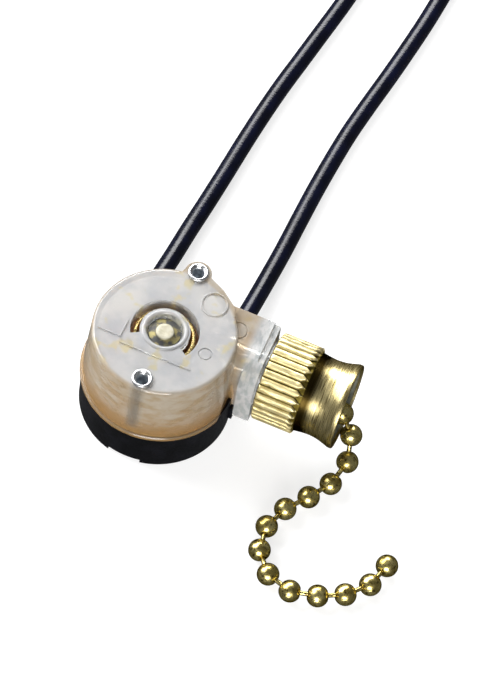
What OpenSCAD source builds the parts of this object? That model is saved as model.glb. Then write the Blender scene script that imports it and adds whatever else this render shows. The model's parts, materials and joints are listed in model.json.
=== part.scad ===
// Pull cord switch: a riveted canopy switch with a ball chain, a bell nut and two leads.
// The chain turns a drum about the upright spindle. Face teeth under the drum step the
// rotor round by a quarter turn a pull, and the rotor's bridge joins or parts two contacts.
// Frame: origin on the spindle's axis at the bottom of the base, +X along the neck,
// +Y towards the leads, +Z up. All sizes in millimetres.

/* [Housing] */
// Outer radius of the black base
base_r = 10.9; // [10.5:0.1:11.2]
// Height of the black base
base_h = 7.5; // [7.2:0.1:7.6]
// Height of the clear cover's top face above the bench
case_h = 19; // [18.9:0.1:19.3]
// Radius of the cover's top face
face_r = 10.2; // [10:0.1:10.4]
// Radius of the cover's lip, where it sits on the base
lip_r = 11.2; // [11.1:0.1:11.4]
// Wall thickness of the cover
cover_wall = 1.0; // [0.9:0.05:1.1]
// Wall thickness of the base
base_wall = 1.2; // [1:0.1:1.4]

/* [Neck] */
// Height of the neck's axis
neck_z = 11.6; // [11.5:0.05:11.65]
// Outer radius of the neck's thread
thread_r = 4.75; // [4.7:0.01:4.76]
// Pitch of the neck's thread
thread_pitch = 0.94; // [0.9:0.01:1]
// Bore radius of the neck, which the chain runs in
neck_bore_r = 2.4; // [2.3:0.05:2.6]

/* [Bell nut] */
// Start of the nut along X
nut_x = 14.6; // [14.5:0.1:14.9]
// Length of the knurled part
knurl_len = 6.1; // [5.8:0.1:6.3]
// Outer radius over the knurl
knurl_r = 6.42; // [6.3:0.02:6.5]
// Number of ridges round the knurl
knurl_teeth = 32; // [28:1:36]
// Whole length of the nut
nut_len = 12.2; // [12:0.1:12.4]
// Radius of the bell's rim
rim_r = 6.25; // [6.2:0.05:6.35]

/* [Ball chain] */
// Diameter of a ball
ball_d = 3.2; // [3.1:0.05:3.2]
// Distance from ball to ball
ball_pitch = 3.9; // [3.85:0.05:4]
// Pitch radius of the drum, which is also the neck's offset along Y
drum_pitch_r = 3.8; // [3.75:0.05:3.85]

/* [Leads] */
// Outer diameter of a lead
lead_d = 2.75; // [2.6:0.05:2.8]
// Diameter of a lead's bare conductor
core_d = 1.2; // [1.1:0.05:1.3]
// Length of each bare end
strip_len = 11; // [10:0.5:12]

/* [Hidden] */

$fn = 64;
neck_y = drum_pitch_r;
ball_r = ball_d / 2;
lead_r = lead_d / 2;

// Housing
side_low_r = 10.9;
lip_top = base_h + 0.6;
ear = [0.6, 10.5];
ear_r = 1.95;
front = [0.2, -8.6];
rivet_hole_r = 1.1;
base_floor = 1.3;
face_in = case_h - cover_wall;
slot_from = -31;
slot_to = 210;
slot_in_r = 3.55;
slot_out_r = 4.85;
collar_depth = 1.8;
hub_bead_r = 2.98;
dish_r = 2.35;
dish_depth = 0.75;
spindle_drop = 0.25;

// Neck
flange_x = [11.8, 14.2];
neck_end = 24.1;
block_r = 4.9;
block_z = neck_z + 1.3;
block_top = block_z + block_r;
block_y = [neck_y - block_r + 0.1, 8.5];
block_low = 5.7;
recess_x = 10.5;
web_x = 7;

// Spindle, drum and rotor
spindle_r = 1.375;
run_gap = 0.075;
groove_half = 1.75;
drum_flange_r = 5.5;
drum_hub_r = 2.05;
drum_top_r = 3.1;
drum_low = neck_z - groove_half - 0.7;
drum_high = case_h - cover_wall - 0.15;
tooth_h = 0.4;
rotor_r = 5.2;
rotor_low = 4.4;
rotor_top = drum_low - 2 * tooth_h - 0.15;

// Lead entries and routes: a point every few diameters, on the bench after the first bend
left_entry = [-7.0, 3.4];
right_entry = [6.6, 3.4];
left_route = [
    [-7, 5.6, 3.4], [-7, 8.6, 3.4], [-7, 12, 3.3], [-6.9, 17, 2.8], [-6.6, 22, 2.1],
    [-6.3, 27.5, 1.5], [-5.8, 33, 1.4], [-5.3, 39, 1.4], [-4.85, 45, 1.4], [-4.3, 51, 1.4],
    [-3.6, 57, 1.4], [-2.7, 63, 1.4], [-1.8, 69, 1.4], [-0.9, 75, 1.4], [-0.3, 80, 1.4],
    [0, 84, 1.4], [0, 88, 1.4]
];
right_route = [
    [6.6, 6, 3.4], [6.6, 9.6, 3.4], [6.8, 13, 3.3], [7.1, 18, 2.7], [7.35, 24, 1.9],
    [7.6, 30, 1.5], [7.75, 36, 1.4], [7.95, 42, 1.4], [8.3, 48, 1.4], [8.8, 54, 1.4],
    [9.6, 60, 1.4], [10.5, 66, 1.4], [11.3, 72, 1.4], [12, 78, 1.4], [12.5, 84, 1.4],
    [12.8, 89, 1.4], [12.8, 94, 1.4]
];
insulation_len = 141;
// Half turns at the far ends, one to each side
left_bend_r = 15;
right_bend_r = 16.5;
left_bend = [-left_bend_r, 88, 1.4];
right_bend = [12.8 + right_bend_r, 94, 1.4];

function route_length(p, i = 0) = i >= len(p) - 1 ? 0 : norm(p[i + 1] - p[i]) + route_length(p, i + 1);
function rest_length(p, r) = insulation_len - route_length(p) - PI * r;
left_rest = rest_length(left_route, left_bend_r);
right_rest = rest_length(right_route, right_bend_r);

// Chain: each link's heading round Z and dip below level, from the last straight ball out
straight_balls = 5;
last_straight = [19.3, neck_y, neck_z];
links = [
    [-5, -6], [12, -36], [-24, -54], [-73, -42], [-106, -22.65], [-122, 0], [-126, 0], [-110, 0],
    [-83, 0], [-50, 0], [-17, 0], [14, 0], [28, 0], [48, 0], [74, 0]
];
function link_step(a) = ball_pitch * [cos(a[0]) * cos(a[1]), sin(a[0]) * cos(a[1]), sin(a[1])];
function ball_at(i) = i < 0 ? last_straight : ball_at(i - 1) + link_step(links[i]);
neck_links = 2;
ball_wall = 0.25;
ball_hole_r = 0.6;
pin_r = 0.35;
pin_head_r = 0.45;
pin_in = 0.6;
wound_balls = 3;
first_wound = 90 + (ball_pitch - last_straight[0] + (straight_balls - 1) * ball_pitch) / drum_pitch_r * 180 / PI;
wound_step = ball_pitch / drum_pitch_r * 180 / PI;

// ---- shared shapes ----

module along_x(at) { translate(at) rotate([0, 90, 0]) children(); }

module ring(outer, inner, h) {
    difference() {
        cylinder(r = outer, h = h);
        translate([0, 0, -1]) cylinder(r = inner, h = h + 2);
    }
}

// A flat sector used to cut arcs out of rings
module sector(r, from, to) {
    steps = 24;
    polygon(concat([[0, 0]], [for (i = [0 : steps])
        let (a = from + (to - from) * i / steps) 2 * r * [cos(a), sin(a)]]));
}

// A tube swept along points, with square cut ends
function unit(v) = v / norm(v);
function heading_at(p, i) = unit(p[min(i + 1, len(p) - 1)] - p[max(i - 1, 0)]);
module swept(p, r, sides) {
    n = len(p);
    rings = [for (i = [0 : n - 1])
        let (t = heading_at(p, i), s = unit(cross([0, 0, 1] + 0.001 * [1, 0, 0], t)), u = cross(t, s))
        for (k = [0 : sides - 1]) p[i] + r * (cos(360 * k / sides) * s + sin(360 * k / sides) * u)];
    walls = [for (i = [0 : n - 2], k = [0 : sides - 1])
        let (a = i * sides + k, b = i * sides + (k + 1) % sides) [a, a + sides, b + sides, b]];
    caps = [[for (k = [0 : sides - 1]) k], [for (k = [sides - 1 : -1 : 0]) (n - 1) * sides + k]];
    polyhedron(points = rings, faces = concat(walls, caps), convexity = 10);
}

module helix_spring(r, wire_r, low, high, turns, from) {
    steps = round(turns * 20);
    points = [for (i = [0 : steps])
        let (a = from + 360 * turns * i / steps) [r * cos(a), r * sin(a), low + (high - low) * i / steps]];
    swept(points, wire_r, 8);
}

// A ball with two holes towards its neighbours, and the pin to the ball before it
module turn_to(v) { rotate([0, acos(v[2] / norm(v)), atan2(v[1], v[0])]) children(); }

module ball(at, holes) {
    translate(at) difference() {
        turn_to(holes[0]) rotate([0, 90, 0]) rotate(90) difference() {
            sphere(r = ball_r, $fn = 48);
            sphere(r = ball_r - ball_wall, $fn = 48);
        }
        for (v = holes) turn_to(v) cylinder(r = ball_hole_r, h = 2 * ball_r, $fn = 32);
    }
}

module pin(from, to) {
    gap = norm(to - from);
    translate(from) turn_to(to - from) {
        translate([0, 0, pin_in]) sphere(r = pin_head_r, $fn = 32);
        translate([0, 0, pin_in]) cylinder(r = pin_r, h = gap - 2 * pin_in, $fn = 32);
        translate([0, 0, gap - pin_in]) sphere(r = pin_head_r, $fn = 32);
    }
}

module chain_ball(i) {
    here = ball_at(i);
    back = ball_at(i - 1) - here;
    holes = i < len(links) - 1 ? [back, ball_at(i + 1) - here] : [back];
    color("goldenrod") {
        ball(here, holes);
        pin(ball_at(i - 1), here);
    }
}

// ---- housing ----

// The outline that the base and the cover share behind the round wall: the ear and its web
module ear_outline(grow) {
    translate(ear) circle(r = ear_r + grow);
    polygon([[-1.9 - grow, 9], [ear[0] - ear_r - grow, ear[1]], [ear[0] + ear_r + grow - 0.15, ear[1] + 0.2],
        [4.9 + grow, 9.5 + grow], [7.4 + grow, 7.6 + grow], [8, 6], [0, 6]]);
}

// The neck's end view: a flat top on the +Y side and a round shoulder on the other
module neck_outline(low) {
    translate([block_z, neck_y + 0.1]) circle(r = block_r);
    translate([low, block_y[0]]) square([block_z - low, neck_y + 0.1 - block_y[0]]);
    translate([low, neck_y + 0.1]) square([block_top - low, block_y[1] - neck_y - 0.1]);
}

module neck_slice(x0, x1, low) {
    translate([x0, 0, 0]) rotate([0, -90, 0]) mirror([0, 0, 1])
        linear_extrude(x1 - x0) neck_outline(low);
}

module neck_thread() {
    turns = floor((neck_end - flange_x[1] - 1) / thread_pitch);
    depth = 0.45;
    profile = concat([[0, flange_x[1] - 0.5], [thread_r, flange_x[1] - 0.5]],
        [for (i = [0 : turns - 1]) let (x = flange_x[1] + 0.4 + i * thread_pitch)
            each [[thread_r, x], [thread_r - depth, x + thread_pitch / 2]]],
        [[thread_r, flange_x[1] + 0.4 + turns * thread_pitch], [thread_r, neck_end - 0.4],
            [thread_r - 0.4, neck_end], [0, neck_end]]);
    along_x([0, neck_y, neck_z]) rotate_extrude() polygon(profile);
}

module clear_cover() {
    edge = 0.5;
    arc_steps = 6;
    wall_outline = concat([[0, base_h], [lip_r, base_h], [lip_r, lip_top - 0.15], [lip_r - 0.15, lip_top],
        [side_low_r, lip_top]],
        [for (i = [0 : arc_steps]) let (a = 90 * i / arc_steps)
            [face_r - edge + edge * cos(a), case_h - edge + edge * sin(a)]],
        [[0, case_h]]);
    color([0.85, 0.82, 0.8, 0.45]) difference() {
        union() {
            rotate_extrude($fn = 96) polygon(wall_outline);
            translate([0, 0, base_h]) linear_extrude(case_h - base_h) ear_outline(0);
            neck_slice(8, flange_x[0], block_low + 0.4);
            neck_slice(flange_x[0], flange_x[1], block_low);
            neck_thread();
            // fillet between the ear's web and the neck block
            translate([web_x, block_y[1] - 2.5, base_h]) cube([1.5, 2.5, block_top - base_h]);
        }
        // room for the mechanism, and for the base's top edge
        translate([0, 0, base_h - 1]) cylinder(r1 = side_low_r - cover_wall, r2 = face_r - cover_wall,
            h = face_in - base_h + 1, $fn = 96);
        translate([0, 0, base_h - 3]) cylinder(r = base_r + 0.1, h = 3);
        translate([0, 0, base_h - 3]) linear_extrude(3) ear_outline(0.1);
        // chain bore, opened out at the neck's end
        along_x([5, neck_y, neck_z]) cylinder(r = neck_bore_r, h = 30);
        along_x([neck_end - 1, neck_y, neck_z]) cylinder(r1 = neck_bore_r, r2 = neck_bore_r + 1.01, h = 1.01);
        // side recess between the round wall and the flange
        translate([recess_x, -5, block_low - 1]) cube([flange_x[0] - recess_x, 5.4, case_h]);
        // crescent slot round the hub
        translate([0, 0, face_in - 1]) linear_extrude(3) intersection() {
            difference() { circle(r = slot_out_r); circle(r = slot_in_r); }
            sector(slot_out_r, slot_from, slot_to);
        }
        // spindle hole and its dished recess
        translate([0, 0, face_in - 1]) cylinder(r = spindle_r + run_gap, h = 3);
        translate([0, 0, case_h - dish_depth]) cylinder(r1 = dish_r, r2 = dish_r + 0.25, h = dish_depth + 0.01);
        // rivet holes
        for (at = [front, ear]) translate([at[0], at[1], base_h - 1])
            cylinder(r = rivet_hole_r, h = case_h, $fn = 48);
        // shallow round marks
        translate([6.5, -1.15, case_h - 0.12]) ring(1.0, 0.8, 1);
        translate([9.1, 5.1, block_top - 0.12]) ring(1.35, 1.15, 1);
        // stepped edge of the flange on top
        translate([flange_x[1] - 0.9, -2, block_top - 0.5]) cube([2, 12, 1]);
    }
    cover_relief();
}

// The collar that hangs below the slot's outer edge, and the raised marks on the top face:
// a bar, a pad, a plain ring and the round bead about the hub
module cover_relief() {
    sink = 0.2;
    rise = 0.2;
    color([0.85, 0.82, 0.8, 0.45]) {
        translate([0, 0, face_in - collar_depth]) ring(slot_out_r + 0.6, slot_out_r + 0.05, collar_depth + 0.1);
        translate([0, 0, case_h - sink]) raised_marks(sink + rise);
    }
}

module raised_marks(h) {
    translate([4.6, 6.8, 0]) ring(1.95, 1.7, h);
    rotate_extrude() translate([hub_bead_r, 0.05]) circle(r = 0.38, $fn = 20);
    translate([-5, -4.5, 0]) cube([10.6, 0.22, h]);
    translate([-8.6, -3.6, 0]) cube([3.2, 0.2, h]);
    translate([-5.4, -3.6, 0]) cube([0.2, 2.8, h]);
}

module black_base() {
    color([0.07, 0.07, 0.08]) difference() {
        union() {
            cylinder(r = base_r - 0.2, h = base_h, $fn = 96);
            translate([0, 0, 0.2]) cylinder(r = base_r, h = base_h - 0.2, $fn = 96);
            linear_extrude(base_h) ear_outline(-0.15);
            translate([8.6, 0.6, 1.6]) cube([2.8, 6.6, 2.7]);
        }
        difference() {
            translate([0, 0, base_floor]) cylinder(r = base_r - base_wall, h = base_h, $fn = 96);
            translate([front[0], front[1], 0]) cylinder(r = 1.8, h = base_h - 0.4);
            cylinder(r = 3.2, h = 1.9);
            // floor pads under the contacts
            translate([-8.6, -2.2, 0]) cube([4, 5.6, 2.3]);
            translate([4.2, -2.2, 0]) cube([3.9, 5.6, 2.3]);
        }
        // seat for the insulator plate
        translate([0, 0, base_h - 0.8]) cylinder(r = base_r - base_wall + 0.4, h = 2);
        // spindle hole and its head
        translate([0, 0, -1]) cylinder(r = spindle_r, h = 5);
        translate([0, 0, -1]) cylinder(r = 2.25, h = 1.7);
        // rivets and their rolled tails
        for (at = [front, ear]) translate([at[0], at[1], -1]) {
            cylinder(r = rivet_hole_r, h = base_h + 2, $fn = 48);
            cylinder(r = 1.7, h = 1.8, $fn = 48);
        }
        // notch at the front of the bottom edge
        translate([-2.8, -base_r - 1, -1]) cube([4.9, 2.4, 1.9]);
        // lead entries
        for (entry = [left_entry, right_entry]) translate([entry[0], 4, entry[1]])
            rotate([-90, 0, 0]) cylinder(r = lead_r + 0.08, h = 10);
    }
}

// ---- fasteners and spindle ----

module rivet(at, tail) {
    head = 1.5;
    bore = 0.85;
    shank = 1.05;
    rise = 0.55;
    outline = [[bore, tail], [bore + 0.5, tail], [head, tail + 0.35], [head, tail + 0.6], [shank, tail + 0.6],
        [shank, case_h + 0.02], [head, case_h + 0.02], [head + 0.05, case_h + 0.25],
        [head - 0.2, case_h + rise - 0.05], [bore + 0.3, case_h + rise], [bore + 0.05, case_h + 0.25], [bore, case_h]];
    color("silver") translate(at) rotate_extrude($fn = 48) polygon(outline);
}

module front_rivet() { rivet(front, 0.15); }

module ear_rivet() { rivet(ear, 0.15); }

module spindle() {
    dish_z = case_h - dish_depth + 0.02;
    outline = [[0, 0], [2.2, 0], [2.2, 0.65], [spindle_r, 0.65], [spindle_r, dish_z],
        [dish_r - 0.1, dish_z], [dish_r - 0.1, dish_z + 0.15], [spindle_r, dish_z + 0.2],
        [spindle_r, case_h - spindle_drop - 0.3],
        [spindle_r - 0.35, case_h - spindle_drop], [0, case_h - spindle_drop]];
    color("burlywood") rotate_extrude() polygon(outline);
}

// ---- mechanism ----

module insulator_plate() {
    color("saddlebrown") difference() {
        translate([0, 0, base_h - 0.75]) cylinder(r = base_r - base_wall + 0.3, h = 0.7);
        translate([0, 0, base_h - 1]) cylinder(r = rotor_r + 0.5, h = 2);
        for (at = [front, ear]) translate([at[0], at[1], base_h - 1]) cylinder(r = rivet_hole_r + 0.1, h = 2);
    }
}

// Four ramps round the axis, standing up from z = 0
module face_teeth() {
    for (a = [0 : 90 : 270]) rotate(a) translate([2.6, 0, 0]) rotate([90, 0, 90])
        linear_extrude(2.3) polygon([[-0.9, 0], [0.9, 0], [0.9, tooth_h]]);
}

module pull_drum() {
    color("sienna") difference() {
        union() {
            translate([0, 0, drum_low]) cylinder(r = drum_flange_r, h = neck_z - groove_half - drum_low);
            translate([0, 0, drum_low]) cylinder(r = drum_hub_r, h = drum_high - drum_low);
            translate([0, 0, neck_z + groove_half]) cylinder(r = drum_flange_r, h = 0.7);
            translate([0, 0, neck_z + groove_half]) cylinder(r = drum_top_r, h = drum_high - neck_z - groove_half);
            translate([0, 0, drum_low]) mirror([0, 0, 1]) face_teeth();
        }
        translate([0, 0, 2]) cylinder(r = spindle_r + run_gap, h = 20);
    }
}

module drum_chain() {
    spots = [for (i = [0 : wound_balls - 1]) let (a = first_wound + i * wound_step)
        [drum_pitch_r * cos(a), drum_pitch_r * sin(a), neck_z]];
    color("goldenrod") for (i = [0 : wound_balls - 1]) {
        ball(spots[i], concat(i > 0 ? [spots[i - 1] - spots[i]] : [],
            i < wound_balls - 1 ? [spots[i + 1] - spots[i]] : []));
        if (i > 0) pin(spots[i - 1], spots[i]);
    }
}

module return_spring() {
    color("goldenrod") helix_spring(4.1, 0.26, neck_z + groove_half + 1.05, face_in - 0.4, 5, 200);
}

module ratchet_rotor() {
    color("dimgray") difference() {
        union() {
            translate([0, 0, rotor_low]) cylinder(r = rotor_r, h = rotor_top - rotor_low);
            translate([0, 0, rotor_top]) face_teeth();
        }
        translate([0, 0, 2]) cylinder(r = spindle_r + run_gap, h = 20);
        translate([-6, -1.3, rotor_low - 1]) cube([12, 2.6, 1.4]);
        translate([0, 0, rotor_low - 1]) cylinder(r = 3, h = 1.4);
    }
}

module contact_bridge() {
    color("gold") difference() {
        translate([-5.9, -1.2, rotor_low]) cube([11.8, 2.4, 0.35]);
        translate([0, 0, rotor_low - 1]) cylinder(r = 2.9, h = 2);
    }
}

module rotor_spring() {
    color("silver") helix_spring(2.2, 0.22, 2.15, rotor_low + 0.1, 3, 0);
}

// Terminal clip that takes a lead's bare end, with a springy blade under the bridge
module contact(entry, blade_x) {
    clip = [1.9, 4.6, 1.85];
    blade = [1, 2.4, 0.38];
    color("gold") difference() {
        union() {
            translate([entry[0] - clip[0] / 2, -1.6, 2.35]) cube(clip);
            translate([blade_x, -blade[1] / 2, rotor_low - 0.07 - blade[2]]) cube(blade);
        }
        translate([entry[0], -2.5, entry[1]]) rotate([-90, 0, 0])
            cylinder(r = core_d / 2 + 0.05, h = 8, $fn = 32);
    }
}

module left_contact() { contact(left_entry, left_entry[0] + 0.9); }

module right_contact() { contact(right_entry, right_entry[0] - 1.9); }

// ---- bell nut ----

module bell_nut() {
    bore = thread_r + 0.1;
    knurl_end = nut_x + knurl_len;
    mouth = nut_x + nut_len;
    valley = knurl_r - 0.5;
    star = [for (i = [0 : 2 * knurl_teeth - 1])
        let (a = 180 * i / knurl_teeth, r = i % 2 == 0 ? knurl_r : valley) r * [cos(a), sin(a)]];
    envelope = [[0, nut_x], [valley - 0.1, nut_x], [knurl_r - 0.15, nut_x + 0.45], [knurl_r, nut_x + 0.9],
        [knurl_r, knurl_end - 0.55], [valley - 0.05, knurl_end], [0, knurl_end]];
    waist = 5.64;
    waist_at = knurl_end + 2.6;
    flare = mouth - 0.7 - waist_at;
    bell = concat([[0, nut_x + 0.5], [valley, nut_x + 0.5], [valley, knurl_end]],
        [for (i = [0 : 8]) let (t = i / 8) [valley - (valley - waist) * sin(90 * t), knurl_end + 0.2 + 2.4 * t]],
        [for (i = [1 : 8]) let (t = i / 8) [waist + (rim_r - waist) * (1 - cos(90 * t)), waist_at + flare * t]],
        [[rim_r, mouth - 0.15], [rim_r - 0.15, mouth], [0, mouth]]);
    color("khaki") difference() {
        along_x([0, neck_y, neck_z]) union() {
            intersection() {
                translate([0, 0, nut_x]) linear_extrude(knurl_len) polygon(star);
                rotate_extrude($fn = 96) polygon(envelope);
            }
            rotate_extrude($fn = 96) polygon(bell);
        }
        along_x([nut_x - 1, neck_y, neck_z]) cylinder(r = bore, h = nut_len + 2);
        along_x([mouth - 2.2, neck_y, neck_z]) cylinder(r1 = bore, r2 = rim_r - 0.2, h = 2.21);
    }
}

// ---- chain in the neck and outside ----

module neck_chain() {
    straight = [for (i = [straight_balls - 1 : -1 : 0]) last_straight - [i * ball_pitch, 0, 0]];
    spots = concat(straight, [for (i = [0 : neck_links - 1]) ball_at(i)]);
    color("goldenrod") for (i = [0 : len(spots) - 1]) {
        next = i < len(spots) - 1 ? spots[i + 1] : ball_at(neck_links);
        back = i > 0 ? spots[i - 1] : spots[0] - [ball_pitch, 0, 0];
        ball(spots[i], [next - spots[i], back - spots[i]]);
        if (i > 0) pin(spots[i - 1], spots[i]);
    }
}

module chain_ball_01() { chain_ball(2); }
module chain_ball_02() { chain_ball(3); }
module chain_ball_03() { chain_ball(4); }
module chain_ball_04() { chain_ball(5); }
module chain_ball_05() { chain_ball(6); }
module chain_ball_06() { chain_ball(7); }
module chain_ball_07() { chain_ball(8); }
module chain_ball_08() { chain_ball(9); }
module chain_ball_09() { chain_ball(10); }
module chain_ball_10() { chain_ball(11); }
module chain_ball_11() { chain_ball(12); }
module chain_ball_12() { chain_ball(13); }
module chain_ball_13() { chain_ball(14); }

// ---- leads ----

// The far end of a lead: a half turn on the bench, then straight back towards the switch
module lead_bend(at, r, side, rest) {
    color([0.05, 0.05, 0.07]) translate(at) {
        rotate_extrude(angle = 180, $fn = 96) translate([r, 0]) circle(r = lead_r, $fn = 24);
        translate([side * r, 0.01, 0]) rotate([90, 0, 0]) cylinder(r = lead_r, h = rest + 0.01, $fn = 24);
    }
}

// Bare ends: one in the terminal clip, one past the end of the insulation
module conductor(entry, clip_end, at, r, side, rest) {
    color("peru") {
        translate([entry[0], 0, entry[1]]) rotate([-90, 0, 0]) cylinder(r = core_d / 2, h = clip_end, $fn = 32);
        translate(at + [side * r, -rest, 0]) rotate([90, 0, 0]) cylinder(r = core_d / 2, h = strip_len, $fn = 32);
    }
}

module left_lead() { color([0.05, 0.05, 0.07]) swept(left_route, lead_r, 8); }

module left_lead_bend() { lead_bend(left_bend, left_bend_r, -1, left_rest); }

module left_conductor() {
    conductor(left_entry, left_route[0][1], left_bend, left_bend_r, -1, left_rest);
}

module right_lead() { color([0.05, 0.05, 0.07]) swept(right_route, lead_r, 8); }

module right_lead_bend() { lead_bend(right_bend, right_bend_r, 1, right_rest); }

module right_conductor() {
    conductor(right_entry, right_route[0][1], right_bend, right_bend_r, 1, right_rest);
}

clear_cover();
black_base();
spindle();
front_rivet();
ear_rivet();
insulator_plate();
pull_drum();
drum_chain();
return_spring();
ratchet_rotor();
contact_bridge();
rotor_spring();
left_contact();
right_contact();
bell_nut();
neck_chain();
chain_ball_01();
chain_ball_02();
chain_ball_03();
chain_ball_04();
chain_ball_05();
chain_ball_06();
chain_ball_07();
chain_ball_08();
chain_ball_09();
chain_ball_10();
chain_ball_11();
chain_ball_12();
chain_ball_13();
left_lead();
left_lead_bend();
left_conductor();
right_lead();
right_lead_bend();
right_conductor();
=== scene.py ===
"""Looks of the pull cord switch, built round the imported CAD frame.

Lengths are in metres. The leads' routes and the sizes in the materials are in millimetres.
"""

import json
import math

import bmesh
import bpy
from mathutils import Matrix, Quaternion, Vector, noise


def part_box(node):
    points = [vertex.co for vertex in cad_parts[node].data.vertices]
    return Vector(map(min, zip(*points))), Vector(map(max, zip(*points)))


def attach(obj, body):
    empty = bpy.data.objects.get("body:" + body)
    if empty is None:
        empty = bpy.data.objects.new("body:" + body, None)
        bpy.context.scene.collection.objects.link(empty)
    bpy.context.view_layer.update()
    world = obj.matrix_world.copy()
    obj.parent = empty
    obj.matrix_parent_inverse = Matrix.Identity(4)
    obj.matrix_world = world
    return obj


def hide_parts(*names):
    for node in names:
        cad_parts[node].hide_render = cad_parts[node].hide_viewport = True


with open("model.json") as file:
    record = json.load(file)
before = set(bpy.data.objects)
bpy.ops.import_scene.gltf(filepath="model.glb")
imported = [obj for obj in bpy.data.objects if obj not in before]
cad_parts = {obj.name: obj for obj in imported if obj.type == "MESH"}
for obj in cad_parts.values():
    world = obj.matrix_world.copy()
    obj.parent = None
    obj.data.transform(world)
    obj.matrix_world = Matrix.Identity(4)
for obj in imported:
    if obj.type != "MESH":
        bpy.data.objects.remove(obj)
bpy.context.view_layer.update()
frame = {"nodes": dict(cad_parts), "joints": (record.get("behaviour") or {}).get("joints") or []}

MM = 0.001
UP = Vector((0, 0, 1))

# The joints give the axes that the looks follow
JOINTS = {joint["name"]: joint for joint in frame["joints"]}
NECK_AXIS = Vector(JOINTS["nut_turn"]["pos_m"])
DRUM_PITCH_R = NECK_AXIS.y

# Leads: the CAD part's own routes, in millimetres, then a half turn to each side
LEAD_R = 1.36 * MM
LEAD_STEP = 1.2 * MM
INSULATION = 141 * MM
STRIP = 11 * MM
LEFT_ROUTE = [
    (-7, 5.6, 3.4), (-7, 8.6, 3.4), (-7, 12, 3.3), (-6.9, 17, 2.8), (-6.6, 22, 2.1),
    (-6.3, 27.5, 1.5), (-5.8, 33, 1.4), (-5.3, 39, 1.4), (-4.85, 45, 1.4), (-4.3, 51, 1.4),
    (-3.6, 57, 1.4), (-2.7, 63, 1.4), (-1.8, 69, 1.4), (-0.9, 75, 1.4), (-0.3, 80, 1.4),
    (0, 84, 1.4), (0, 88, 1.4),
]
RIGHT_ROUTE = [
    (6.6, 6, 3.4), (6.6, 9.6, 3.4), (6.8, 13, 3.3), (7.1, 18, 2.7), (7.35, 24, 1.9),
    (7.6, 30, 1.5), (7.75, 36, 1.4), (7.95, 42, 1.4), (8.3, 48, 1.4), (8.8, 54, 1.4),
    (9.6, 60, 1.4), (10.5, 66, 1.4), (11.3, 72, 1.4), (12, 78, 1.4), (12.5, 84, 1.4),
    (12.8, 89, 1.4), (12.8, 94, 1.4),
]
LEFT_BEND_R = 15 * MM
RIGHT_BEND_R = 16.5 * MM

# Ball chain: heading and rise of each link in degrees, as in the CAD part
BALL_R = 1.595 * MM
PITCH = 3.9 * MM
STRAIGHT_BALLS = 5
LAST_STRAIGHT = Vector((19.3 * MM, NECK_AXIS.y, NECK_AXIS.z))
LINKS = [
    (-5, -6), (12, -36), (-24, -54), (-73, -42), (-106, -22.65), (-122, 0), (-126, 0), (-110, 0),
    (-83, 0), (-50, 0), (-17, 0), (14, 0), (28, 0), (48, 0), (74, 0),
]
NECK_LINKS = 2
WOUND_BALLS = 3

# Bell nut: length of the ridges
KNURL_LENGTH = 6.1 * MM


# ---- camera and light ----

def make_camera():
    """The photograph's viewing angle: from above the front left, with a long lens."""
    azimuth = math.radians(13.1)
    elevation = math.radians(59)
    roll = math.radians(10.7)
    distance = 0.5
    aim = Vector((8.33, 10.64, 5)) * MM
    back = Vector((
        math.sin(azimuth) * math.cos(elevation),
        -math.cos(azimuth) * math.cos(elevation),
        math.sin(elevation),
    ))
    data = bpy.data.cameras.new("camera")
    data.lens = 183
    data.sensor_width = 36
    data.clip_start = 0.01
    data.clip_end = 20
    camera = bpy.data.objects.new("camera", data)
    bpy.context.scene.collection.objects.link(camera)
    camera.location = aim + back * distance
    camera.rotation_mode = "QUATERNION"
    look = (-back).to_track_quat("-Z", "Y")
    camera.rotation_quaternion = look @ Quaternion((0, 0, 1), roll)
    bpy.context.scene.camera = camera


def area_light(name, place, target, size, power, colour=(1, 1, 1)):
    data = bpy.data.lights.new(name, "AREA")
    data.shape = "RECTANGLE"
    data.size, data.size_y = size
    data.energy = power
    data.color = colour
    light = bpy.data.objects.new(name, data)
    bpy.context.scene.collection.objects.link(light)
    light.location = place
    light.rotation_mode = "QUATERNION"
    light.rotation_quaternion = (Vector(target) - Vector(place)).to_track_quat("-Z", "Y")


def make_studio():
    """Three softboxes, behind, left and in front, in a dim room. Overhead stays dark."""
    world = bpy.data.worlds.new("studio")
    bpy.context.scene.world = world
    world.use_nodes = True
    background = world.node_tree.nodes["Background"]
    background.inputs["Color"].default_value = (0.95, 0.97, 1.0, 1)
    background.inputs["Strength"].default_value = 0.15
    centre = (0.01, 0.01, 0)
    area_light("back_softbox", (-0.165, 0.40, 0.34), centre, (0.35, 0.25), 3.8)
    area_light("left_softbox", (-0.41, 0.11, 0.35), centre, (0.4, 0.36), 5.0, (0.97, 0.98, 1.0))
    area_light("front_softbox", (0.13, -0.46, 0.21), centre, (0.3, 0.2), 2.6, (1.0, 0.99, 0.97))
    bpy.context.scene.view_settings.view_transform = "Standard"


# ---- mesh helpers ----

def add_piece(name, verts, faces, materials, face_slots=None):
    mesh = bpy.data.meshes.new(name)
    mesh.from_pydata([tuple(v) for v in verts], [], faces)
    mesh.validate()
    for material in materials:
        mesh.materials.append(material)
    mesh.polygons.foreach_set("use_smooth", [True] * len(mesh.polygons))
    if face_slots:
        mesh.polygons.foreach_set("material_index", face_slots)
    mesh.update()
    piece = bpy.data.objects.new(name, mesh)
    bpy.context.scene.collection.objects.link(piece)
    return piece


def join_lists(parts):
    """One vertex list and one face list from several (verts, faces) pairs."""
    verts, faces = [], []
    for part_verts, part_faces in parts:
        start = len(verts)
        verts.extend(part_verts)
        faces.extend([tuple(start + i for i in face) for face in part_faces])
    return verts, faces


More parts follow.
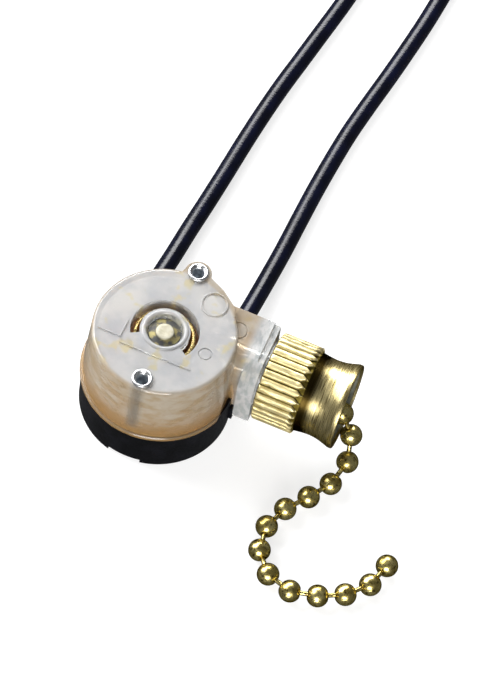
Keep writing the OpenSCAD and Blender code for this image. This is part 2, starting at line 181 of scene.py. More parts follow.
def frame_on(axis):
    """Two unit vectors square to axis and to each other."""
    side = axis.cross(UP if abs(axis.z) < 0.9 else Vector((1, 0, 0))).normalized()
    return side, axis.cross(side).normalized()


def spoke(side, other, turn):
    """The unit vector at an angle from side towards other."""
    return side * math.cos(turn) + other * math.sin(turn)


def revolved(profile, origin, axis, segments=96):
    """A closed outline of (radius, height) pairs turned about axis. Radius 0 ends close it."""
    axis = axis.normalized()
    side, other = frame_on(axis)
    verts, rings = [], []
    for radius, height in profile:
        if radius <= 1e-9:
            rings.append([len(verts)])
            verts.append(origin + axis * height)
            continue
        ring = []
        for k in range(segments):
            turn = 2 * math.pi * k / segments
            ring.append(len(verts))
            verts.append(origin + axis * height + spoke(side, other, turn) * radius)
        rings.append(ring)
    faces = []
    closed = len(rings[0]) > 1
    pairs = list(zip(rings, rings[1:] + rings[:1])) if closed else list(zip(rings, rings[1:]))
    for low, high in pairs:
        for k in range(segments):
            n = (k + 1) % segments
            if len(low) == 1:
                faces.append((low[0], high[n], high[k]))
            elif len(high) == 1:
                faces.append((low[k], low[n], high[0]))
            else:
                faces.append((low[k], low[n], high[n], high[k]))
    return verts, faces


def arc(centre, radius, start, end, steps):
    """Points of an arc in an outline's plane, from start to end degrees."""
    points = []
    for i in range(steps + 1):
        angle = math.radians(start + (end - start) * i / steps)
        points.append((centre[0] + radius * math.cos(angle), centre[1] + radius * math.sin(angle)))
    return points


def smoothed(points, step):
    """A Catmull-Rom curve through the points, with a point about every step."""
    ends = [points[0] * 2 - points[1]] + points + [points[-1] * 2 - points[-2]]
    curve = []
    for a, b, c, d in zip(ends, ends[1:], ends[2:], ends[3:]):
        count = max(1, round((c - b).length / step))
        for i in range(count):
            t = i / count
            curve.append(0.5 * (
                2 * b + (c - a) * t + (2 * a - 5 * b + 4 * c - d) * t * t
                + (3 * b - a - 3 * c + d) * t * t * t
            ))
    curve.append(points[-1].copy())
    return curve


def path_length(path):
    return sum((b - a).length for a, b in zip(path, path[1:]))


def swept(path, radius, sides):
    """A capped tube along a path."""
    verts, faces = [], []
    last = len(path) - 1
    heading = (path[1] - path[0]).normalized()
    side, _ = frame_on(heading)
    for i, point in enumerate(path):
        heading = (path[min(i + 1, last)] - path[max(i - 1, 0)]).normalized()
        side = (side - heading * side.dot(heading)).normalized()
        other = heading.cross(side)
        for k in range(sides):
            turn = 2 * math.pi * k / sides
            verts.append(point + spoke(side, other, turn) * radius)
    for i in range(last):
        for k in range(sides):
            n = (k + 1) % sides
            low, high = i * sides, (i + 1) * sides
            faces.append((low + k, low + n, high + n, high + k))
    faces.append(tuple(reversed(range(sides))))
    faces.append(tuple(last * sides + k for k in range(sides)))
    return verts, faces


# ---- material helpers ----

# Reflection tint at grazing angles, set dark: a painted dark reflection that gives the brass its
# dark outline
BRASS_EDGE = (0.1, 0.08, 0.03, 1)


class Surface:
    """A Principled material with the object's own coordinates in millimetres."""

    def __init__(self, name, **values):
        self.material = bpy.data.materials.new(name)
        self.material.use_nodes = True
        self.tree = self.material.node_tree
        self.shader = self.tree.nodes["Principled BSDF"]
        for key, value in values.items():
            self.shader.inputs[key.replace("_", " ")].default_value = value
        coordinates = self.node("ShaderNodeTexCoord")
        scale = self.node("ShaderNodeMapping")
        scale.inputs["Scale"].default_value = (1000, 1000, 1000)
        self.join(coordinates.outputs["Object"], scale.inputs["Vector"])
        self.place = scale.outputs["Vector"]

    def node(self, kind, **settings):
        made = self.tree.nodes.new(kind)
        for key, value in settings.items():
            setattr(made, key, value)
        return made

    def join(self, output, target):
        self.tree.links.new(output, target)

    def feed(self, target, value):
        if isinstance(value, bpy.types.NodeSocket):
            self.join(value, target)
        else:
            target.default_value = value

    def math(self, operation, a, b=0.0):
        made = self.node("ShaderNodeMath", operation=operation)
        for socket, value in zip(made.inputs, (a, b)):
            self.feed(socket, value)
        return made.outputs[0]

    def axis(self, name):
        """One coordinate of the point, in millimetres."""
        split = self.node("ShaderNodeSeparateXYZ")
        self.join(self.place, split.inputs[0])
        return split.outputs[name]

    def from_axis(self, first, second, centre):
        """Distance from an axis square to two coordinates, in millimetres. centre is in metres."""
        squares = []
        for name, middle in zip((first, second), centre):
            offset = self.math("SUBTRACT", self.axis(name), middle / MM)
            squares.append(self.math("MULTIPLY", offset, offset))
        return self.math("SQRT", self.math("ADD", *squares))

    def stretched(self, scale):
        """Coordinates for a noise that is finer along an axis of higher scale."""
        made = self.node("ShaderNodeMapping")
        made.inputs["Scale"].default_value = scale
        self.join(self.place, made.inputs["Vector"])
        return made.outputs["Vector"]

    def noise(self, size, detail=3.0, vector=None):
        """Noise with features about size millimetres across."""
        made = self.node("ShaderNodeTexNoise")
        self.join(vector or self.place, made.inputs["Vector"])
        made.inputs["Scale"].default_value = 1 / size
        made.inputs["Detail"].default_value = detail
        made.inputs["Roughness"].default_value = 0.55
        return made.outputs[0]

    def ramp(self, value, low, high, to_low=0.0, to_high=1.0):
        """A smooth step from to_low to to_high as value goes from low to high."""
        made = self.node("ShaderNodeMapRange", interpolation_type="SMOOTHSTEP")
        for socket, number in zip(made.inputs, (value, low, high, to_low, to_high)):
            self.feed(socket, number)
        return made.outputs[0]

    def mix(self, factor, first, second):
        """A blend of two colours. Inputs 6 and 7 and output 2 are the node's colour sockets."""
        made = self.node("ShaderNodeMix", data_type="RGBA")
        self.feed(made.inputs[0], factor)
        for socket, value in zip((made.inputs[6], made.inputs[7]), (first, second)):
            self.feed(socket, value if isinstance(value, bpy.types.NodeSocket) else (*value, 1))
        return made.outputs[2]

    def patchy(self, size, first, second, low=0.3, high=0.7, detail=3.0):
        """Two colours in patches about size millimetres across."""
        return self.mix(self.ramp(self.noise(size, detail), low, high), first, second)

    def colour(self, value):
        self.join(value, self.shader.inputs["Base Color"])

    def roughness(self, value):
        self.join(value, self.shader.inputs["Roughness"])

    def patchy_roughness(self, size, low, high, detail=3.0):
        """Roughness between low and high, in patches about size millimetres across."""
        self.roughness(self.ramp(self.noise(size, detail), 0.3, 0.7, low, high))

    def bump(self, height, depth, edge=0.0):
        """Relief of depth millimetres, on edges rounded by edge millimetres."""
        made = self.node("ShaderNodeBump")
        made.inputs["Strength"].default_value = 1
        made.inputs["Distance"].default_value = depth * MM
        self.join(height, made.inputs["Height"])
        if edge:
            rounded = self.node("ShaderNodeBevel", samples=4)
            rounded.inputs["Radius"].default_value = edge * MM
            self.join(rounded.outputs[0], made.inputs["Normal"])
        self.join(made.outputs[0], self.shader.inputs["Normal"])


def clear_plastic():
    """Moulded polycarbonate: hazy on top, amber where a wall is seen through its depth."""
    surface = Surface("clear_plastic", Transmission_Weight=0.62, IOR=1.5, Specular_IOR_Level=0.5)
    x, y, z = (surface.axis(name) for name in "XYZ")
    radius = surface.from_axis("X", "Y", (0, 0))
    normal = surface.node("ShaderNodeSeparateXYZ")
    surface.join(surface.node("ShaderNodeNewGeometry").outputs["Normal"], normal.inputs[0])
    upward = surface.math("ABSOLUTE", normal.outputs["Z"])

    # from where to where each look gives way to the next
    wall_slope = (0.2, 0.75)
    wall_r = (8.6, 9.4)
    rim_r = (9.6, 10.2)
    bowl_r = (2.5, 2.75)
    neck_x = (10.6, 11.9)
    flange_x = (11.0, 12.2)
    deep_z = (8.2, 13.5)
    shank_z = (9.0, 9.8)
    shank_y = (-8.2, -7.8)
    shank_width = (0.2, 1.4)

    wall = surface.ramp(upward, *wall_slope, 1.0, 0.0)
    round_wall = surface.math("MULTIPLY", wall, surface.ramp(radius, *wall_r))
    rim = surface.ramp(radius, *rim_r, 0.0, 0.8)
    amber = surface.math("MAXIMUM", round_wall, rim)
    amber = surface.math("MULTIPLY", amber, surface.ramp(x, *neck_x, 1.0, 0.0))

    tint = surface.patchy(3.5, (0.74, 0.74, 0.73), (0.62, 0.63, 0.65), 0.35)
    glimpses = surface.noise(2.6, 2.0, surface.stretched((1, 1, 0.2)))
    tint = surface.mix(surface.ramp(glimpses, 0.56, 0.68, 0.0, 0.75), tint, (0.76, 0.68, 0.42))
    # the flange's light and dark stripes are painted highlights and shade
    flange_light_and_shade = surface.noise(1.1, 3.0, surface.stretched((1.6, 0.7, 0.7)))
    flange = surface.mix(surface.ramp(flange_light_and_shade, 0.38, 0.62), (0.58, 0.61, 0.62), (0.84, 0.84, 0.83))
    tint = surface.mix(surface.ramp(x, *flange_x), tint, flange)
    # the dish round the spindle: dark blue-grey and gold patches, painted shade and reflections
    bowl = surface.patchy(1.2, (0.16, 0.18, 0.21), (0.48, 0.46, 0.36), 0.35, 0.65)
    tint = surface.mix(surface.ramp(radius, *bowl_r, 0.9, 0.0), tint, bowl)

    streaks = surface.noise(2.4, 5.0, surface.stretched((0.8, 0.8, 1.7)))
    warm = surface.mix(surface.ramp(streaks, 0.3, 0.7), (0.56, 0.42, 0.25), (0.70, 0.64, 0.53))
    warm = surface.mix(surface.ramp(z, *deep_z, 0.95, 0.0), warm, (0.52, 0.31, 0.11))

    # a grey band where the front rivet's shank would show through the wall
    shank_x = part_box("front_rivet")[0].x / MM + 1.5
    off_shank = surface.math("ABSOLUTE", surface.math("SUBTRACT", x, shank_x))
    shank = surface.ramp(off_shank, *shank_width, 0.75, 0.0)
    shank = surface.math("MULTIPLY", shank, surface.ramp(z, *shank_z))
    shank = surface.math("MULTIPLY", shank, surface.ramp(y, *shank_y, 1.0, 0.0))
    warm = surface.mix(shank, warm, (0.30, 0.26, 0.21))
    surface.colour(surface.mix(amber, tint, warm))

    haze = surface.ramp(surface.noise(0.7, 4.0), 0.3, 0.75, 0.08, 0.22)
    clarity = surface.ramp(round_wall, 0.0, 1.0, 1.0, 0.5)
    surface.roughness(surface.math("MULTIPLY", haze, clarity))
    surface.bump(surface.noise(0.5), 0.014, edge=0.1)
    return surface.material


def black_plastic():
    surface = Surface("black_plastic", Specular_IOR_Level=0.12)
    deep, second_tone = (0.0015, 0.0015, 0.002), (0.004, 0.004, 0.006)
    surface.colour(surface.patchy(2.5, deep, second_tone, 0.4, detail=4.0))
    surface.patchy_roughness(0.35, 0.34, 0.5)
    surface.bump(surface.noise(0.18), 0.01, edge=0.15)
    return surface.material


def nickel():
    surface = Surface("nickel", Metallic=1.0)
    surface.colour(surface.patchy(0.9, (0.72, 0.73, 0.74), (0.50, 0.51, 0.52), 0.35, detail=4.0))
    surface.patchy_roughness(0.3, 0.24, 0.4)
    surface.bump(surface.noise(0.4), 0.02)
    return surface.material


def shaded_bore_metal(name, light, dark):
    """Duller metal down in the bores, painted darker for the shade there."""
    surface = Surface(name, Metallic=0.4)
    surface.colour(surface.patchy(0.8, light, dark, 0.35, detail=4.0))
    surface.patchy_roughness(0.3, 0.3, 0.45)
    surface.bump(surface.noise(0.3), 0.01)
    return surface.material


def spindle_brass():
    """Pale brass with fine turning marks round its upright axis, and a collar in dark and gold
    patches: painted reflection and shade.
    """
    surface = Surface("spindle_brass", Metallic=0.6)
    radius = surface.from_axis("X", "Y", (0, 0))
    pale = surface.patchy(0.8, (0.36, 0.34, 0.27), (0.26, 0.24, 0.17))
    # dark and gold patches on the collar: painted reflection and shade
    second_tone = surface.patchy(1.1, (0.10, 0.10, 0.10), (0.42, 0.36, 0.16), 0.4, 0.6)
    collar_r = (1.2, 1.42)
    surface.colour(surface.mix(surface.ramp(radius, *collar_r), pale, second_tone))
    surface.patchy_roughness(0.3, 0.45, 0.6, detail=2.0)
    radians_per_mm = 38.0
    surface.bump(surface.math("SINE", surface.math("MULTIPLY", radius, radians_per_mm)), 0.006)
    return surface.material


def knurl_brass():
    """Pale brass ridges, with grooves painted darker for the shade in them."""
    surface = Surface("knurl_brass", Metallic=0.75, Specular_Tint=BRASS_EDGE)
    radius = surface.from_axis("Y", "Z", (NECK_AXIS.y, NECK_AXIS.z))
    pale = surface.patchy(1.4, (0.80, 0.69, 0.37), (0.64, 0.53, 0.25), 0.35, detail=4.0)
    ridge_r = (5.95, 6.3)
    # below the ridges' tops the colour goes dark: painted shade in the grooves
    surface.colour(surface.mix(surface.ramp(radius, *ridge_r), (0.10, 0.075, 0.015), pale))
    surface.patchy_roughness(0.35, 0.34, 0.5)
    surface.bump(surface.noise(0.12, 3.0, surface.stretched((0.15, 1, 1))), 0.02)
    return surface.material


def bell_brass():
    """Lathe-turned brass: fine rings round the neck's axis, and a band painted dark where it
    begins, for the shade next to the ridges.
    """
    surface = Surface("bell_brass", Metallic=1.0, Specular_Tint=BRASS_EDGE)
    rings = surface.noise(0.07, 4.0, surface.stretched((1, 0.03, 0.03)))
    body = surface.mix(surface.ramp(rings, 0.3, 0.7), (0.30, 0.23, 0.08), (0.74, 0.63, 0.33))
    start = (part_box("bell_nut")[0].x + KNURL_LENGTH) / MM
    # a band painted dark just past the ridges: painted shade
    painted_shade_band = surface.ramp(surface.axis("X"), start + 1.0, start + 2.6, 1.0, 0.0)
    surface.colour(surface.mix(painted_shade_band, body, (0.03, 0.02, 0.005)))
    surface.roughness(surface.ramp(rings, 0.3, 0.7, 0.24, 0.38))
    surface.bump(rings, 0.015)
    return surface.material


def chain_brass():
    """Worn balls, browned in patches."""
    surface = Surface("chain_brass", Metallic=1.0, Specular_Tint=BRASS_EDGE)
    bright, aged = (0.78, 0.66, 0.26), (0.44, 0.34, 0.09)
    body = surface.patchy(1.3, bright, aged, 0.35, 0.68, detail=4.0)
    spots = surface.ramp(surface.noise(0.6), 0.55, 0.7)
    surface.colour(surface.mix(spots, body, (0.12, 0.08, 0.02)))
    surface.patchy_roughness(0.4, 0.22, 0.34)
    surface.bump(surface.noise(0.9), 0.012)
    return surface.material


def stamped_brass():
    surface = Surface("stamped_brass", Metallic=1.0)
    surface.colour(surface.patchy(1.2, (0.90, 0.70, 0.30), (0.72, 0.52, 0.20)))
    surface.patchy_roughness(0.3, 0.2, 0.35)
    surface.bump(surface.noise(0.25, 2.0), 0.01, edge=0.08)
    return surface.material


def moulded(name, light, dark, rough):
    surface = Surface(name, Specular_IOR_Level=0.4)
    surface.colour(surface.patchy(1.5, light, dark, detail=4.0))
    surface.patchy_roughness(0.4, rough, rough + 0.15)
    surface.bump(surface.noise(0.2), 0.015, edge=0.1)
    return surface.material


def insulation():
    """Black sleeve with a blue cast and fine ripples across it."""
    surface = Surface("insulation", Specular_IOR_Level=0.3)
    surface.colour(surface.patchy(3.0, (0.001, 0.0015, 0.006), (0.002, 0.003, 0.014), 0.35))
    surface.patchy_roughness(0.6, 0.16, 0.26)
    ripples = surface.noise(0.3, 2.0, surface.stretched((0.35, 1.4, 0.35)))
    surface.bump(ripples, 0.035)
    return surface.material


def copper():
    surface = Surface("copper", Metallic=1.0)
    surface.colour(surface.patchy(0.8, (0.90, 0.52, 0.34), (0.66, 0.33, 0.2)))
    surface.patchy_roughness(0.3, 0.2, 0.38)
    surface.bump(surface.noise(0.2, 2.0), 0.008)
    return surface.material


def spring_steel():
    surface = Surface("spring_steel", Metallic=1.0)
    surface.colour(surface.patchy(0.5, (0.6, 0.6, 0.6), (0.42, 0.42, 0.43)))
    surface.patchy_roughness(0.3, 0.22, 0.38)
    surface.bump(surface.noise(0.15, 2.0), 0.005)
    return surface.material


# ---- leads ----

def lead_path(route, bend_r, turn_to):
    """The route, a half turn to one side (-1 is -X), then straight back to the bare end."""
    path = smoothed([Vector(p) * MM for p in route], LEAD_STEP)
    centre = path[-1] + Vector((turn_to * bend_r, 0, 0))
    steps = round(math.pi * bend_r / LEAD_STEP)
    for i in range(1, steps + 1):
        turn = math.pi * i / steps
        path.append(centre + Vector((-turn_to * math.cos(turn), math.sin(turn), 0)) * bend_r)
    rest = INSULATION - path_length(path)
    corner = path[-1]
    steps = max(1, round(rest / LEAD_STEP))
    for i in range(1, steps + 1):
        path.append(corner - Vector((0, rest * i / steps, 0)))
    return path


def strands(start, heading, length):
    """Seven twisted wires, as one bundle."""
    wire_r = 0.2 * MM
    spread = 1.98
    lay = 9 * MM
    side, other = frame_on(heading)
    parts = [swept([start, start + heading * length], wire_r, 12)]
    steps = 24
    for wire in range(6):
        path = []
        for i in range(steps + 1):
            along = length * i / steps
            turn = 2 * math.pi * (wire / 6 + along / lay)
            path.append(start + heading * along + spoke(side, other, turn) * wire_r * spread)
        parts.append(swept(path, wire_r, 12))
    return parts


def make_lead(side_name, route, bend_r, turn_to, sleeve, wire):
    path = lead_path(route, bend_r, turn_to)
    verts, faces = swept(path, LEAD_R, 24)
    lead = add_piece(f"{side_name}_sleeve", verts, faces, [sleeve])
    clip_start = Vector((route[0][0] * MM, 0, route[0][2] * MM))
    bare = strands(clip_start, Vector((0, 1, 0)), route[0][1] * MM)
    bare += strands(path[-1], Vector((0, -1, 0)), STRIP)
    tips = add_piece(f"{side_name}_strands", *join_lists(bare), [wire])
    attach(lead, "housing")
    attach(tips, "housing")
    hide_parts(f"{side_name}_lead", f"{side_name}_lead_bend")
    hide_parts(f"{side_name}_conductor")


# ---- chain ----

def chain_points():
    """Centres of all straight and free balls, from the drum out."""
    points = [LAST_STRAIGHT - Vector((i * PITCH, 0, 0)) for i in range(STRAIGHT_BALLS - 1, -1, -1)]
    for heading, rise in LINKS:
        h, r = math.radians(heading), math.radians(rise)
        step = Vector((math.cos(h) * math.cos(r), math.sin(h) * math.cos(r), math.sin(r)))
        points.append(points[-1] + step * PITCH)
    return points


def ico_directions(divisions):
    """Unit directions and faces of an evenly divided icosahedron."""
    grid = bmesh.new()
    bmesh.ops.create_icosphere(grid, subdivisions=divisions, radius=1)
    grid.verts.ensure_lookup_table()
    directions = [v.co.normalized() for v in grid.verts]
    faces = [tuple(v.index for v in f.verts) for f in grid.faces]
    grid.free()
    return directions, faces


FINE_SPHERE = ico_directions(6)
PLAIN_SPHERE = ico_directions(5)


def ball(centre, holes, sphere):
    """A ball with a pierced, slightly drawn-in hole towards each neighbour, and its seam.

    hole_r and seam_width are parts of the ball's radius.
    """
    directions, faces = sphere
    hole_r, seam_turn = 0.35, 0.6
    hole_angle = math.asin(hole_r)
    rim_angle = hole_angle * 1.5
    edge_angle = hole_angle * 0.12
    hole_depth = 0.6 * MM
    rim_depth = 0.05 * MM
    seam_depth = 0.028 * MM
    seam_width = 0.03
    holes = [h.normalized() for h in holes]
    seam = holes[0].cross(UP).normalized() if len(holes) == 1 else holes[0].cross(holes[1])
    if seam.length < 0.05:
        seam = holes[0].cross(UP)
    seam.normalize()
    seam = Quaternion(holes[0], seam_turn) @ seam
    verts = []
    for d in directions:
        radius = BALL_R
        for h in holes:
            angle = math.acos(max(-1, min(1, d.dot(h))))
            if angle < hole_angle:
                wall = min(1, (hole_angle - angle) / edge_angle)
                radius = BALL_R - rim_depth - hole_depth * wall
            elif angle < rim_angle:
                t = (rim_angle - angle) / (rim_angle - hole_angle)
                radius = min(radius, BALL_R - rim_depth * t * t)
        off = abs(d.dot(seam))
        if off < seam_width:
            radius -= seam_depth * (1 - off / seam_width)
        verts.append(centre + d * radius)
    return verts, faces


def pin(start, end):
    """The dumbbell pin between two balls, flared a little where it enters each."""
    head, neck, inside = 0.45 * MM, 0.34 * MM, 0.6 * MM
    flare_r, flare_start, flare_end = neck * 1.15, inside + 0.62 * MM, inside + 0.9 * MM
    gap = (end - start).length
    axis = (end - start).normalized()
    low = arc((0, inside), head, -90, 50, 8)
    high = arc((0, gap - inside), head, -50, 90, 8)
    outline = [(0, low[0][1])] + low[1:]
    outline += [(flare_r, flare_start), (neck, flare_end)]
    outline += [(neck, gap - flare_end), (flare_r, gap - flare_start)]
    outline += high[:-1] + [(0, high[-1][1])]
    return revolved(outline, start, axis, 32)


def make_chain(material):
    points = chain_points()
    held = STRAIGHT_BALLS + NECK_LINKS
    parts = []
    for i in range(held):
        back = points[i - 1] if i else points[0] - Vector((PITCH, 0, 0))
        sphere = FINE_SPHERE if i == held - 1 else PLAIN_SPHERE
        parts.append(ball(points[i], [points[i + 1] - points[i], back - points[i]], sphere))
        if i:
            parts.append(pin(points[i - 1], points[i]))
    neck = add_piece("balls_in_neck", *join_lists(parts), [material])
    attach(neck, "pull_chain")
    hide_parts("neck_chain")
    for number, i in enumerate(range(held, len(points)), 1):
        holes = [points[i - 1] - points[i]]
        if i + 1 < len(points):
            holes.append(points[i + 1] - points[i])
        parts = [ball(points[i], holes, FINE_SPHERE), pin(points[i - 1], points[i])]
        piece = add_piece(f"ball_and_pin_{number:02d}", *join_lists(parts), [material])
        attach(piece, f"ball_{number:02d}")
        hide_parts(f"chain_ball_{number:02d}")


def make_wound_chain(material):
    """The balls that lie on the drum, on its pitch circle."""
    first = math.pi / 2 + (PITCH - chain_points()[0].x) / DRUM_PITCH_R
    spots = []
    for i in range(WOUND_BALLS):
        angle = first + i * PITCH / DRUM_PITCH_R
        place = Vector((math.cos(angle), math.sin(angle), 0)) * DRUM_PITCH_R
        spots.append(place + Vector((0, 0, NECK_AXIS.z)))
    parts = []
    for i, spot in enumerate(spots):
        neighbours = [spots[j] - spot for j in (i - 1, i + 1) if 0 <= j < len(spots)]
        parts.append(ball(spot, neighbours, PLAIN_SPHERE))
        if i:
            parts.append(pin(spots[i - 1], spot))
    wound = add_piece("balls_on_drum", *join_lists(parts), [material])
    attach(wound, "drum")
    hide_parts("drum_chain")


# ---- bell nut ----

def make_nut(materials):
    """Straight ridges with pointed ends, then a turned bell with a rolled rim."""
    on_knurl, on_bell, in_bore = range(3)
    low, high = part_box("bell_nut")
    start, mouth = low.x, high.x
    ridge_r = (high.z - low.z) / 2
    valley_r = ridge_r - 0.52 * MM
    waist_r = 5.64 * MM
    rim_r = 6.25 * MM
    bore_r = 4.85 * MM
    lip = 0.17 * MM
    teeth = 32
    columns = teeth * 14
    knurl_end = start + KNURL_LENGTH
    waist_x = knurl_end + 2.6 * MM
    flare_length = mouth - 0.62 * MM - waist_x
    mouth_depth = 2.1 * MM
    point_length = 0.75 * MM
    shoulder = 0.35 * MM
    joint = 0.02 * MM
    nick_level, nick_depth = 0.36, 0.6 * MM

    def ridge(turn, x):
        """Flat-topped ridges that narrow to a point before the bell."""
        across = abs(2 * ((turn / (2 * math.pi) * teeth) % 1) - 1)
        width = min(1, max(0.04, (knurl_end - x) / point_length))
        return valley_r + (ridge_r - valley_r) * (1 - min(1, across / width) ** 4)

    def envelope(x):
        """The rounded shoulder that the ridges start from."""
        if x < start + shoulder:
            t = 1 - (x - start) / shoulder
            return ridge_r - (ridge_r - valley_r + 0.1 * MM) * t * t
        return ridge_r

    def knurl(turn, x):
        """Radius of the ridges, with a few nicks knocked into them."""
        nick = noise.noise(Vector((x / MM * 0.9, math.cos(turn) * 9, math.sin(turn) * 9)))
        return min(ridge(turn, x), envelope(x)) - max(0, nick - nick_level) * nick_depth

    stations = [start + 0.07 * i * MM for i in range(6)]
    stations += [start + (0.6 + 0.45 * i) * MM for i in range(11)]
    stations += [knurl_end - point_length * (1 - i / 10) for i in range(11)]

    # x, radius and material of each row round the nut. The ridges' rows have no one radius
    rows = [(start, bore_r + 0.35 * MM, on_knurl), (start, valley_r - 0.45 * MM, on_knurl)]
    rows += [(x, None, on_knurl) for x in stations]
    steps = 14
    for i in range(1, steps + 1):
        t = i / steps
        sink = (valley_r - waist_r) * math.sin(math.pi / 2 * t)
        x = knurl_end + joint + (waist_x - knurl_end) * t
        rows.append((x, valley_r - joint - sink, on_bell))
    for i in range(1, steps + 1):
        t = i / steps
        swell = (rim_r - waist_r) * (1 - math.cos(math.pi / 2 * t))
        rows.append((waist_x + flare_length * t, waist_r + swell, on_bell))
    rows += [(x, r, on_bell) for r, x in arc((rim_r - lip, mouth - lip), lip, 0, 180, 8)]
    inner_r = rim_r - 2 * lip
    steps = 8
    for i in range(1, steps + 1):
        t = i / steps
        close = (inner_r - bore_r) * math.sin(math.pi / 2 * t)
        rows.append((mouth - lip - mouth_depth * t, inner_r - close, in_bore))
    rows.append((start + 0.5 * MM, bore_r, in_bore))

    verts, faces, slots = [], [], []
    for row, (x, row_r, slot) in enumerate(rows):
        here, after = row * columns, (row + 1) % len(rows) * columns
        for k in range(columns):
            turn = 2 * math.pi * k / columns
            radius = knurl(turn, x) if row_r is None else row_r
            y, z = radius * math.cos(turn), radius * math.sin(turn)
            verts.append(Vector((x, NECK_AXIS.y + y, NECK_AXIS.z + z)))
            n = (k + 1) % columns
            faces.append((here + k, here + n, after + n, after + k))
            slots.append(slot)
    nut = add_piece("turned_nut", verts, faces, materials, slots)
    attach(nut, "nut")
    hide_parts("bell_nut")


# ---- rivets, spindle and springs ----

def make_rivet(node_name, materials):
    """A tubular rivet: a rolled head round a blind bore, and a rolled tail below."""
    low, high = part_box(node_name)
    centre = (low + high) / 2
    origin = Vector((centre.x, centre.y, 0))
    head_r = (high.x - low.x) / 2 - 0.05 * MM
    head_height = 0.55 * MM
    shank, bore, bore_depth = 1.05 * MM, 0.84 * MM, 2 * MM
    roll, tail_roll, lead_in = 0.27 * MM, 0.2 * MM, 0.34 * MM
    seat = high.z - head_height
    bore_top = low.z + bore_depth
    outline = [(0, bore_top), (bore, bore_top), (bore, low.z + 0.3 * MM)]
    outline += arc((head_r - tail_roll, low.z + tail_roll), tail_roll, -120, 90, 8)
    outline += [(shank, low.z + 0.6 * MM), (shank, seat), (head_r - roll, seat)]
    outline += arc((head_r - roll, seat + roll), roll, -80, 110, 12)
    outline += arc((bore + 0.3 * MM, seat - 0.1 * MM), lead_in, 100, 180, 8)
    outline += [(bore - 0.02 * MM, seat - 0.6 * MM), (bore - 0.06 * MM, seat - 1.7 * MM)]
    outline += [(0, seat - bore_depth)]
    segments = 64
    verts, faces = revolved(outline, origin, UP, segments)
    # the bore's rows take the second, darker metal: painted shade in the bore
    bore_rows = (0, 1, len(outline) - 4, len(outline) - 3, len(outline) - 2)
    slots = [int(row in bore_rows) for row in range(len(outline) - 1) for _ in range(segments)]
    rivet = add_piece(f"rolled_{node_name}", verts, faces, materials, slots)
    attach(rivet, "housing")
    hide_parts(node_name)


def make_spindle(material):
    low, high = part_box("spindle")
    radius, chamfer = 1.375 * MM, 0.3 * MM
    foot_r, foot_height, foot_bevel = 2.2 * MM, 0.65 * MM, 0.1 * MM
    collar_r, collar_height, collar_bevel = 2.25 * MM, 0.14 * MM, 0.05 * MM
    collar_z = high.z - 0.48 * MM
    foot_top, collar_top = low.z + foot_height, collar_z + collar_height
    outline = [(0, low.z), (foot_r - foot_bevel, low.z), (foot_r, low.z + foot_bevel)]
    outline += [(foot_r, foot_top - foot_bevel), (foot_r - foot_bevel, foot_top)]
    outline += [(radius, foot_top), (radius, collar_z)]
    outline += [(collar_r - collar_bevel, collar_z), (collar_r, collar_z + collar_height / 2)]
    outline += [(collar_r - collar_bevel, collar_top), (radius, collar_top + 0.02 * MM)]
    outline += arc((radius - chamfer, high.z - chamfer), chamfer, 10, 80, 6)
    outline += [(0.7 * MM, high.z - 0.01 * MM), (0, high.z - 0.03 * MM)]
    verts, faces = revolved(outline, Vector((0, 0, 0)), UP)
    pin_piece = add_piece("turned_spindle", verts, faces, [material])
    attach(pin_piece, "housing")
    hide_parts("spindle")


def helix(radius, low, high, turns, start):
    steps_per_turn = 48
    steps = round(turns * steps_per_turn)
    path = []
    for i in range(steps + 1):
        t = i / steps
        angle = start + 2 * math.pi * turns * t
        x, y = radius * math.cos(angle), radius * math.sin(angle)
        path.append(Vector((x, y, low + (high - low) * t)))
    return path


def make_springs(brass, steel):
    low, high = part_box("return_spring")
    wire = 0.26 * MM
    coils = helix(4.1 * MM, low.z + wire, high.z - wire, 5, math.radians(200))
    piece = add_piece("return_coils", *swept(coils, wire, 14), [brass])
    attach(piece, "housing")
    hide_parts("return_spring")
    low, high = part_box("rotor_spring")
    wire = 0.22 * MM
    coils = helix(2.2 * MM, low.z + wire, high.z - wire, 3, 0)
    piece = add_piece("rotor_coils", *swept(coils, wire, 12), [steel])
    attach(piece, "housing")
    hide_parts("rotor_spring")


# ---- the scene ----

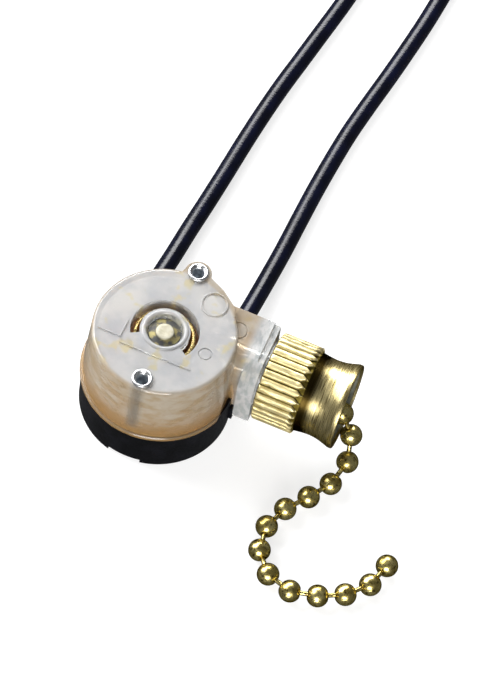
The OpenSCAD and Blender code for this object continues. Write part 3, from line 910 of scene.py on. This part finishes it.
def dress(node_name, material):
    """Gives a carried-over CAD node its material."""
    node = frame["nodes"][node_name]
    node.data.materials.clear()
    node.data.materials.append(material)


def make_floor():
    """A pale bench that glows a little to keep shadows faint, and that metal doesn't mirror."""
    surface = Surface("floor", Specular_IOR_Level=0.0, Emission_Strength=0.75)
    surface.colour(surface.patchy(40.0, (0.34, 0.34, 0.34), (0.36, 0.36, 0.36), detail=2.0))
    half = 3.0
    gap = 0.02 * MM
    corners = [(-half, -half, 0), (half, -half, 0), (half, half, 0), (-half, half, 0)]
    floor = add_piece("floor", corners, [(0, 1, 2, 3)], [surface.material])
    floor.location.z = -gap
    floor.visible_glossy = False


make_camera()
sleeve = insulation()
wire = copper()
make_lead("left", LEFT_ROUTE, LEFT_BEND_R, -1, sleeve, wire)
make_lead("right", RIGHT_ROUTE, RIGHT_BEND_R, 1, sleeve, wire)

brass_chain = chain_brass()
make_chain(brass_chain)
make_wound_chain(brass_chain)
# darker, duller metal inside the nut's mouth and the rivets' bores: painted shade
shaded_bore_brass = shaded_bore_metal("shaded_bore_brass", (0.26, 0.27, 0.22), (0.15, 0.15, 0.12))
make_nut([knurl_brass(), bell_brass(), shaded_bore_brass])
# the rivets' bores get the darker nickel: painted shade
rivet_metals = [nickel(), shaded_bore_metal("shaded_bore_nickel", (0.46, 0.50, 0.54), (0.24, 0.27, 0.30))]
make_rivet("front_rivet", rivet_metals)
make_rivet("ear_rivet", rivet_metals)
make_spindle(spindle_brass())
contact_metal = stamped_brass()
make_springs(contact_metal, spring_steel())

dress("clear_cover", clear_plastic())
dress("black_base", black_plastic())
dress("insulator_plate", moulded("fibre", (0.55, 0.28, 0.11), (0.42, 0.20, 0.07), 0.5))
dress("pull_drum", moulded("brown_plastic", (0.33, 0.15, 0.06), (0.24, 0.10, 0.04), 0.35))
dress("ratchet_rotor", moulded("grey_plastic", (0.26, 0.26, 0.27), (0.2, 0.2, 0.21), 0.4))
for contact_node in ("contact_bridge", "left_contact", "right_contact"):
    dress(contact_node, contact_metal)

make_floor()
make_studio()
